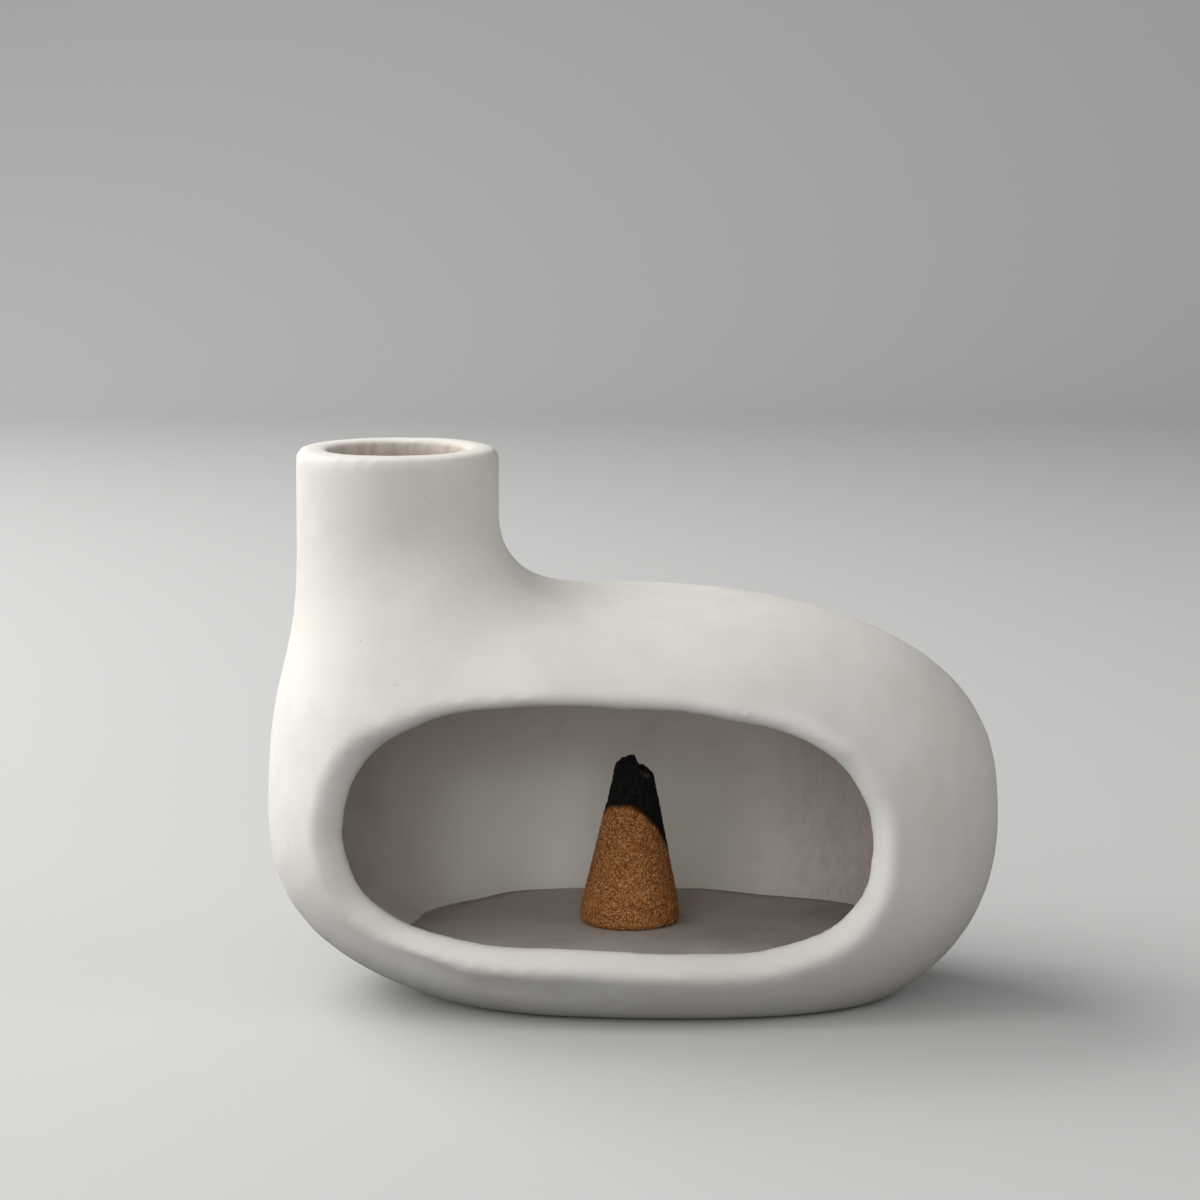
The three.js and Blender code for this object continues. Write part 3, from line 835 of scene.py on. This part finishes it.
tipValues = {
    "voxel": 0.13, "softPasses": 2,  # edge of the remesh grid, and smoothing
    "lump": 0.36, "lumpSize": 2.2,  # slow bulges of the char
    "chip": 0.2, "chipSize": 0.6, "chipMiddle": 0.35,  # its crumbling grain
    "unburntSides": 48, "unburntRadius": 11,  # a drum of what isn't burnt is cut off below
    "unburntHeight": 30, "unburntMiddle": 14,
    "breakHalf": 8,  # half the edge of the blocks that break the top off
    "upward": (0.1, 0.7),  # ash lies where the face looks up
    "ashAt": (2.0, -1.6, 22.4), "ashReach": 1.9,  # pale ash on one broken edge

    # the top broke off in facets. Each is one corner of a block: its X, Y and height over the foot,
    # and the block's turns about Y, X and Z in degrees
    "breaks": [
        (1.35, 0.4, 23.5, 32, 8, 0), (1.35, 0.4, 23.5, -18, -6, 0),
        (-1.5, 0.2, 24.2, -30, 6, 0), (-1.5, 0.2, 24.2, -108, -10, 0),
        (0.4, 1.0, 24.7, 30, 0, 75), (0.4, -1.2, 24.8, 24, 0, -80),
    ],

    "charGrain": 2600.0,  # grains of colour in a metre
    "colours": {
        "dark": colour(14, 15, 15), "light": colour(28, 28, 27),
        "sheen": colour(52, 55, 52), "ash": colour(138, 138, 134),
    },
}


def makeChar():
    tones = tipValues["colours"]
    material, tree, shader = newMaterial("char", roughness=0.93, specular=0.18)
    place = addNode(tree, "TexCoord").outputs["Object"]
    grain = placeGroup(tree, pressedGrain, {"Vector": place, "Size": tipValues["charGrain"]})
    black = mixColour(tree, grain["Shade"], tones["dark"], tones["light"])
    # painted sheen: lighter greenish streaks on the char
    streak = addNode(tree, "Mapping", {"Vector": place, "Scale": (1.0, 1.0, 0.22)}).outputs["Vector"]
    sheen = spread(tree, noise(tree, streak, size=0.5, detail=4, rough=0.7), 0.52, 0.74)
    black = mixColour(tree, calculate(tree, "MULTIPLY", sheen, 0.6), black, tones["sheen"])
    ash = addNode(tree, "Attribute", attribute_name="ash").outputs["Fac"]
    flecks = spread(tree, noise(tree, place, size=0.5, detail=3), 0.42, 0.62)
    ash = calculate(tree, "MULTIPLY", ash, flecks)
    feed(tree, shader.inputs["Base Color"], mixColour(tree, ash, black, tones["ash"]))
    crack = cells(tree, place, size=0.75, feature="DISTANCE_TO_EDGE")["Distance"]
    height = calculate(tree, "MULTIPLY_ADD", spread(tree, crack, 0.0, 0.08), 0.8, grain["Height"])
    bumpInto(tree, shader, height, depth=0.14)
    return material


def breakOff(piece, corner, turnY, turnX, turnZ):
    bpy.ops.object.select_all(action="DESELECT")
    half = tipValues["breakHalf"] * mm
    turn = [math.radians(part) for part in (turnX, turnY, turnZ)]
    bpy.ops.mesh.primitive_cube_add(size=2 * half, rotation=turn)
    block = bpy.context.object
    block.location = corner + block.rotation_euler.to_matrix() @ Vector((half, 0, half))
    applyPlace(block)
    applyModifier(piece, "BOOLEAN", operation="DIFFERENCE", solver="EXACT", object=block)
    bpy.data.objects.remove(block)


# A remesh can leave specks beside a piece, so only what hangs together with its highest point stays
def dropSpecks(piece):
    highest = placesOf(piece)[:, 2].argmax()
    editWhere(piece, "VERT", lambda vertex: vertex.index == highest)
    bpy.ops.mesh.select_linked()
    bpy.ops.mesh.select_all(action="INVERT")
    bpy.ops.mesh.delete(type="VERT")
    leaveEdit()


def makeTip():
    values = tipValues
    piece = plainCone("burnt_tip")
    bpy.ops.object.select_all(action="DESELECT")
    middle = floorTop + values["unburntMiddle"] * mm
    bpy.ops.mesh.primitive_cylinder_add(
        vertices=values["unburntSides"], radius=values["unburntRadius"] * mm,
        depth=values["unburntHeight"] * mm, location=(coneX, coneY, middle),
    )
    unburnt = bpy.context.object
    cutAbove(unburnt, burnPlanes(coneValues["tipInto"]))
    applyModifier(piece, "BOOLEAN", operation="DIFFERENCE", solver="EXACT", object=unburnt)
    bpy.data.objects.remove(unburnt)
    for x, y, height, *turns in values["breaks"]:
        breakOff(piece, Vector((coneX + x * mm, coneY + y * mm, floorTop + height * mm)), *turns)
    applyModifier(piece, "REMESH", mode="VOXEL", voxel_size=values["voxel"] * mm)
    dropSpecks(piece)
    lumps = cloudTexture("lumps", values["lumpSize"])
    applyModifier(piece, "DISPLACE", strength=values["lump"] * mm, mid_level=0.5, texture=lumps)
    chips = cloudTexture("chips", values["chipSize"], "VORONOI")
    applyModifier(piece, "DISPLACE", strength=-values["chip"] * mm, mid_level=values["chipMiddle"],
                  texture=chips)
    applyModifier(piece, "SMOOTH", factor=0.5, iterations=values["softPasses"])
    ashAt = np.array([coneX, coneY, floorTop]) + np.array(values["ashAt"]) * mm
    away = np.linalg.norm(placesOf(piece) - ashAt, axis=1)
    upward = ramp(normalsOf(piece)[:, 2], *values["upward"])
    paintAttribute(piece, "ash", upward * (1 - ramp(away, 0, values["ashReach"] * mm)))
    return piece


incenseBody = makeIncense()
finishPiece(incenseBody, makePressedIncense(), "cone", ["incense_cone"])
burntTip = makeTip()
finishPiece(burntTip, makeChar(), "cone", ["charred_tip"])


# Studio

studioValues = {
    "floorWide": 3.2, "floorFront": -1.4, "wallAt": 1.15, "wallHigh": 1.5,  # metres
    "sweep": 0.35, "sweepSteps": 24,  # the round between the floor and the wall
    "aimAt": (0, 0, 0.035),  # what the lamps face, in metres
    "lamps": {  # place and size in metres, power in watts
        "window_light": ((-0.78, 0.08, 0.46), 0.60, 2.2),
        "window_low": ((-0.85, -0.05, 0.18), 0.60, 2.2),
        "window_front": ((-0.60, -0.45, 0.60), 0.60, 1.5),
        "window_behind": ((-0.55, 0.50, 0.60), 0.60, 5.4),
        "window_above": ((-0.50, 0.00, 0.80), 0.60, 1.75),
        "front_fill": ((-0.20, -0.85, 0.16), 0.70, 3.1),
        "right_fill": ((0.80, -0.20, 0.40), 0.60, 1.8),
    },
    "worldLight": 0.20, "worldSeen": 0.72,  # as light, and to the camera
    "paperSeen": (200, 200, 198),  # the paper's colour to the camera,
    "paperBounce": (90, 90, 89),  # and as it lights the vessel
}


def makeStudio():
    values = studioValues
    bpy.ops.object.select_all(action="DESELECT")
    middle = (values["wallAt"] + values["floorFront"]) / 2
    depth = values["wallAt"] - values["floorFront"]
    bpy.ops.mesh.primitive_plane_add(size=1, location=(0, middle, 0))
    sweep = bpy.context.object
    sweep.name = "studio_sweep"
    sweep.scale = (values["floorWide"], depth, 1)
    applyPlace(sweep)
    editWhere(sweep, "EDGE", lambda edge: min(vertex.co.y for vertex in edge.verts) > middle)
    bpy.ops.mesh.extrude_region_move(TRANSFORM_OT_translate={"value": (0, 0, values["wallHigh"])})
    leaveEdit()

    def corner(edge):
        return all(vertex.co.y > middle and vertex.co.z < values["wallHigh"] / 2 for vertex in edge.verts)
    editWhere(sweep, "EDGE", corner)
    bpy.ops.mesh.bevel(offset=values["sweep"], segments=values["sweepSteps"], affect="EDGES")
    leaveEdit()
    selectOnly(sweep)
    bpy.ops.object.shade_smooth()
    material, tree, shader = newMaterial("studio paper", roughness=0.9, specular=0.2)
    seen = addNode(tree, "LightPath").outputs["Is Camera Ray"]
    paper = mixColour(tree, seen, colour(*values["paperBounce"]), colour(*values["paperSeen"]))
    feed(tree, shader.inputs["Base Color"], paper)
    sweep.data.materials.append(material)


def makeLights():
    values = studioValues
    for name, (place, size, power) in values["lamps"].items():
        bpy.ops.object.light_add(type="AREA", location=place)
        lamp = bpy.context.object
        lamp.name = name
        lamp.data.size = size
        lamp.data.energy = power
        lamp.visible_camera = False
        aim = Vector(values["aimAt"]) - lamp.location
        lamp.rotation_euler = aim.to_track_quat("-Z", "Y").to_euler()
    world = bpy.data.worlds.new("studio")
    bpy.context.scene.world = world
    world.use_nodes = True
    tree = world.node_tree
    backdrop = tree.nodes["Background"]
    backdrop.inputs["Color"].default_value = (1, 1, 1, 1)
    seen = addNode(tree, "LightPath").outputs["Is Camera Ray"]
    light, shown = values["worldLight"], values["worldSeen"]
    feed(tree, backdrop.inputs["Strength"], calculate(tree, "MULTIPLY_ADD", seen, shown - light, light))


cameraValues = {
    "place": (-5.05, -621.9, 151.25),  # millimetres
    "lookDown": 8.52,  # degrees below level
    "lens": 127.5, "sensor": 36, "nearest": 0.01,  # millimetres, and metres
}


def makeCamera():
    values = cameraValues
    bpy.ops.object.camera_add(location=[part * mm for part in values["place"]])
    camera = bpy.context.object
    camera.rotation_euler = (math.radians(90 - values["lookDown"]), 0, 0)
    camera.data.lens = values["lens"]
    camera.data.sensor_width = values["sensor"]
    camera.data.clip_start = values["nearest"]
    bpy.context.scene.camera = camera


makeStudio()
makeLights()
makeCamera()
bpy.context.scene.view_settings.view_transform = "Standard"
print("studio made")
